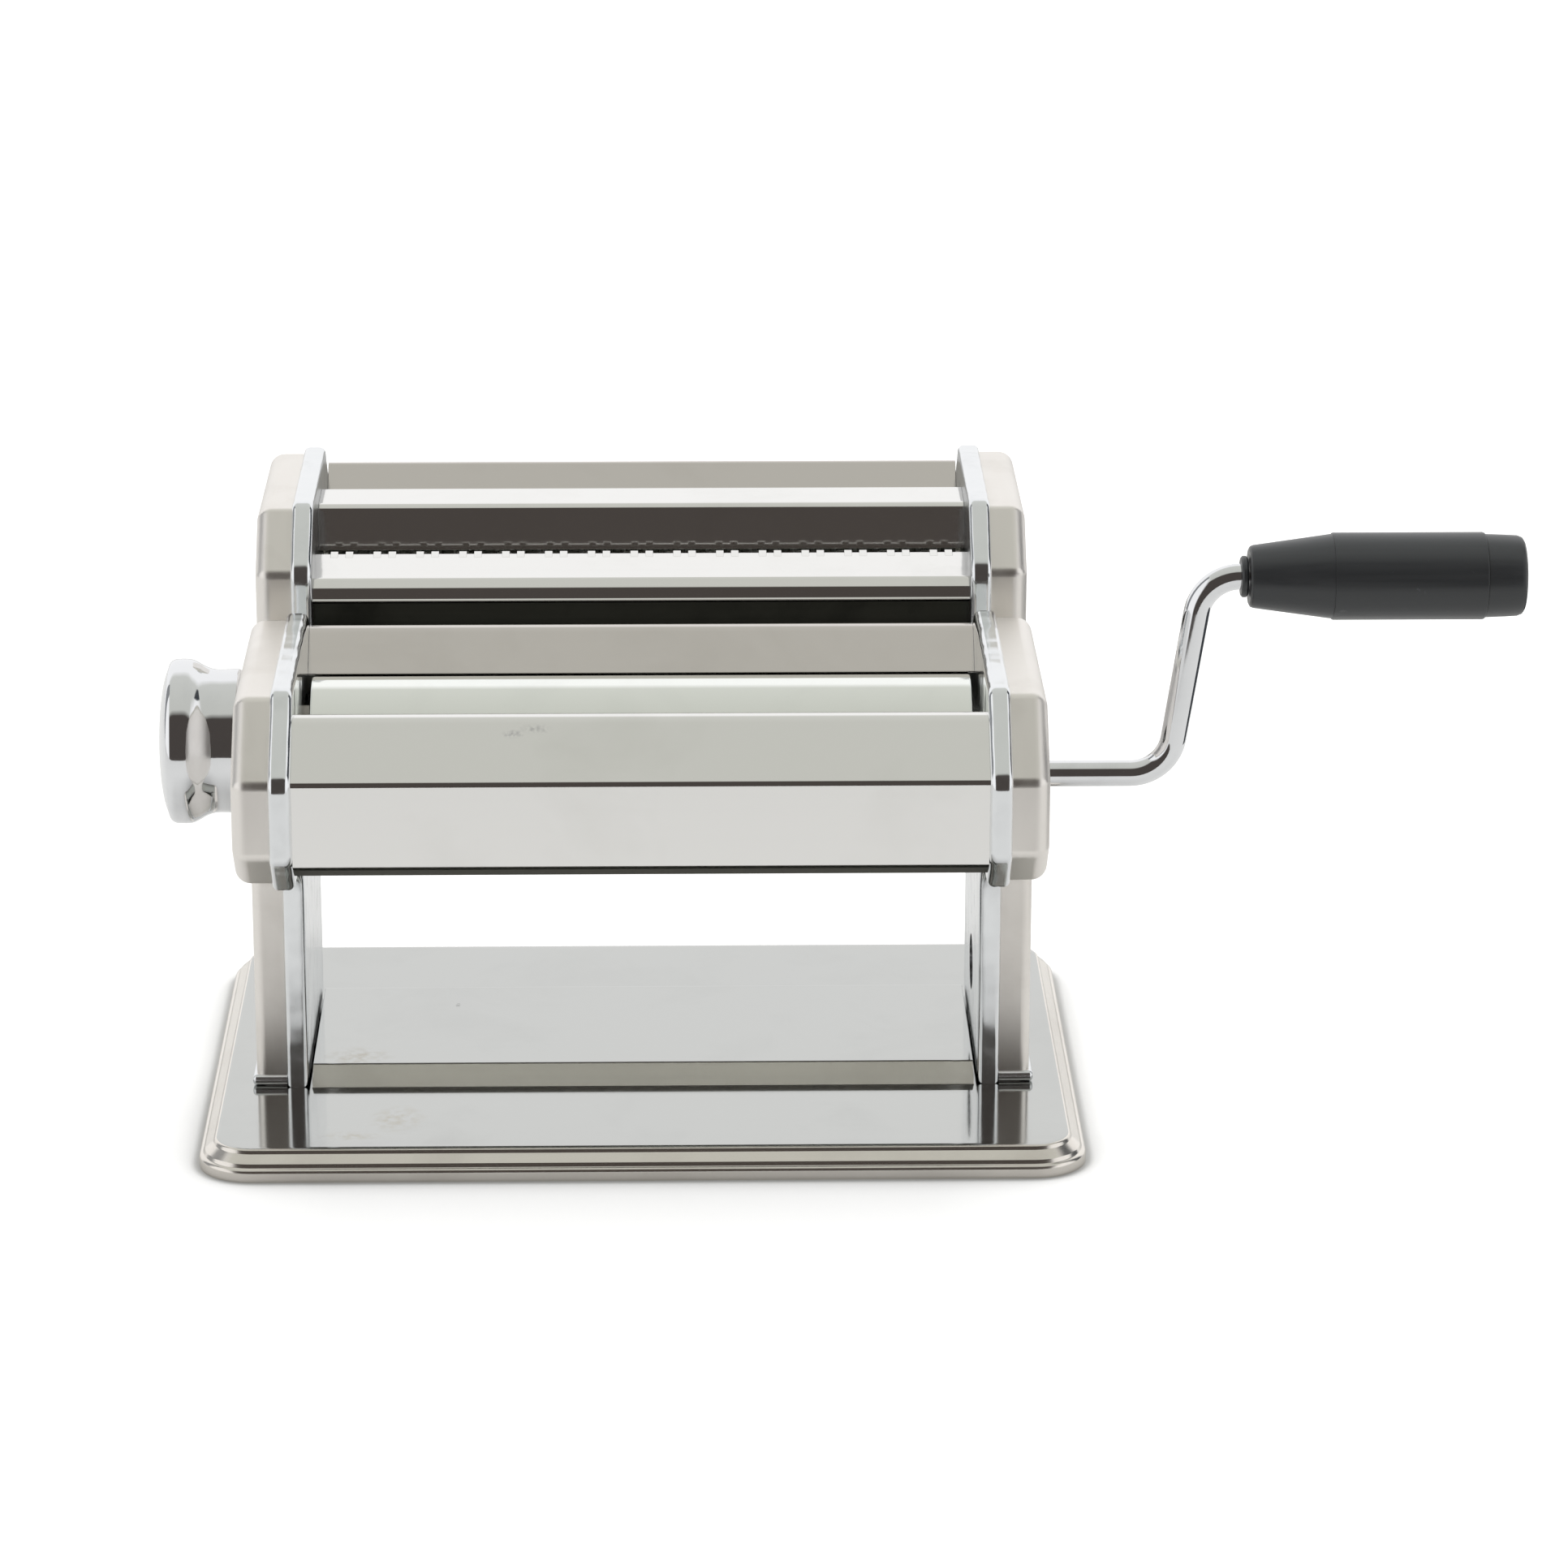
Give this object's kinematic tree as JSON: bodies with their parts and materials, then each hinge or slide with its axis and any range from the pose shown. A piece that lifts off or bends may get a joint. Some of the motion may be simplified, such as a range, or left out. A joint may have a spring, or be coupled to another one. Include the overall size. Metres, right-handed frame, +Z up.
{
  "type": "pasta roller machine",
  "caption": "Hand-cranked pasta roller on a broad steel base, with adjustable smooth rollers, a setting knob and a lift-off cutter unit behind.",
  "frame": {"origin": "middle of the whole machine's footprint, on the table", "axes": "+X along the rollers towards the crank, +Y from the front plate to the cutter unit, +Z up"},
  "size_m": [0.304, 0.1714, 0.138],
  "materials": {
    "polished_steel": "polished sheet",
    "chrome": "bright plating",
    "satin_steel": "satin",
    "roller_steel": "ground and polished",
    "plain_steel": "zinc plated",
    "bearing_plastic": "moulded",
    "black_plastic": "moulded, semi-matt"
  },
  "bodies": {
    "frame": {"base_plate": "polished_steel", "base_tray": "polished_steel", "leg_screws": "plain_steel", "left_frame": "chrome", "right_frame": "chrome", "left_cover": "satin_steel", "right_cover": "satin_steel", "front_plate": "polished_steel", "guide_plate": "polished_steel", "front_scraper": "bearing_plastic", "rear_scraper": "bearing_plastic", "tie_rods": "plain_steel", "tie_nuts": "plain_steel", "roller_bushes": "bearing_plastic", "axle_bushes": "bearing_plastic", "index_pin": "plain_steel", "cutter_hooks": "plain_steel"},
    "drive_roller": {"front_roller": "roller_steel", "front_roller_hubs": "plain_steel", "front_gear": "plain_steel"},
    "crank": {"crank_rod": "chrome", "crank_collar": "black_plastic", "grip_retainer": "plain_steel"},
    "crank_grip": {"grip": "black_plastic", "grip_cap": "black_plastic"},
    "adjuster": {"adjuster_axle": "plain_steel", "knob_nut": "plain_steel", "knob_spring": "plain_steel"},
    "setting_knob": {"knob": "chrome", "knob_cap": "chrome"},
    "sleeves": {"roller_sleeves": "bearing_plastic"},
    "gap_roller": {"rear_roller": "roller_steel", "rear_gear": "plain_steel"},
    "cutter_unit": {"left_cutter_flange": "chrome", "right_cutter_flange": "chrome", "left_cutter_cover": "satin_steel", "right_cutter_cover": "satin_steel", "cutter_front_plate": "polished_steel", "cutter_ridge": "polished_steel", "cutter_rear_plate": "polished_steel", "cutter_tie_rods": "plain_steel", "cutter_bearings": "bearing_plastic", "wide_combs": "bearing_plastic", "narrow_combs": "bearing_plastic"},
    "wide_drive": {"wide_cutter_front": "roller_steel", "wide_gear_front": "plain_steel"},
    "wide_driven": {"wide_cutter_rear": "roller_steel", "wide_gear_rear": "plain_steel"},
    "narrow_drive": {"narrow_cutter_rear": "roller_steel", "narrow_gear_rear": "plain_steel"},
    "narrow_driven": {"narrow_cutter_front": "roller_steel", "narrow_gear_front": "plain_steel"}
  },
  "joints": [
    {"name": "crank_turn", "type": "hinge", "parent": "frame", "child": "drive_roller", "pos_m": [-0.0429, -0.0505, 0.0828], "axis": [1, 0, 0], "continuous": true},
    {"name": "crank_pull", "type": "slide", "parent": "drive_roller", "child": "crank", "axis": [1, 0, 0], "range_m": [0, 0.02]},
    {"name": "grip_spin", "type": "hinge", "parent": "crank", "child": "crank_grip", "pos_m": [0.0912, -0.0505, 0.1283], "axis": [1, 0, 0], "continuous": true},
    {"name": "knob_turn", "type": "hinge", "parent": "frame", "child": "adjuster", "pos_m": [-0.1322, -0.02207, 0.08215], "axis": [1, 0, 0], "range_deg": [0, 120]},
    {"name": "knob_pull", "type": "slide", "parent": "adjuster", "child": "setting_knob", "axis": [-1, 0, 0], "range_m": [0, 0.004], "stiffness_N_per_m": 1200, "springref_m": -0.002, "deforming": ["knob_spring"]},
    {"name": "sleeve_turn", "type": "hinge", "parent": "adjuster", "child": "sleeves", "pos_m": [-0.0429, -0.02095, 0.0828], "axis": [1, 0, 0], "range_deg": [-120, 0]},
    {"name": "gap_roller_turn", "type": "hinge", "parent": "sleeves", "child": "gap_roller", "pos_m": [-0.0429, -0.02095, 0.0828], "axis": [1, 0, 0], "continuous": true},
    {"name": "cutter_lift", "type": "slide", "parent": "frame", "child": "cutter_unit", "axis": [0, 0, 1], "range_m": [0, 0.045]},
    {"name": "wide_cutter_turn", "type": "hinge", "parent": "cutter_unit", "child": "wide_drive", "pos_m": [-0.0429, 0.02305, 0.1005], "axis": [1, 0, 0], "continuous": true},
    {"name": "wide_follower_turn", "type": "hinge", "parent": "cutter_unit", "child": "wide_driven", "pos_m": [-0.0429, 0.03805, 0.1005], "axis": [1, 0, 0], "continuous": true},
    {"name": "narrow_cutter_turn", "type": "hinge", "parent": "cutter_unit", "child": "narrow_drive", "pos_m": [-0.0429, 0.07065, 0.1005], "axis": [1, 0, 0], "continuous": true},
    {"name": "narrow_follower_turn", "type": "hinge", "parent": "cutter_unit", "child": "narrow_driven", "pos_m": [-0.0429, 0.05565, 0.1005], "axis": [1, 0, 0], "continuous": true}
  ],
  "couplings": [
    {"joint": "sleeve_turn", "follows": "knob_turn", "ratio": -1},
    {"joint": "gap_roller_turn", "follows": "crank_turn", "ratio": -1},
    {"joint": "wide_follower_turn", "follows": "wide_cutter_turn", "ratio": -1},
    {"joint": "narrow_follower_turn", "follows": "narrow_cutter_turn", "ratio": -1}
  ]
}
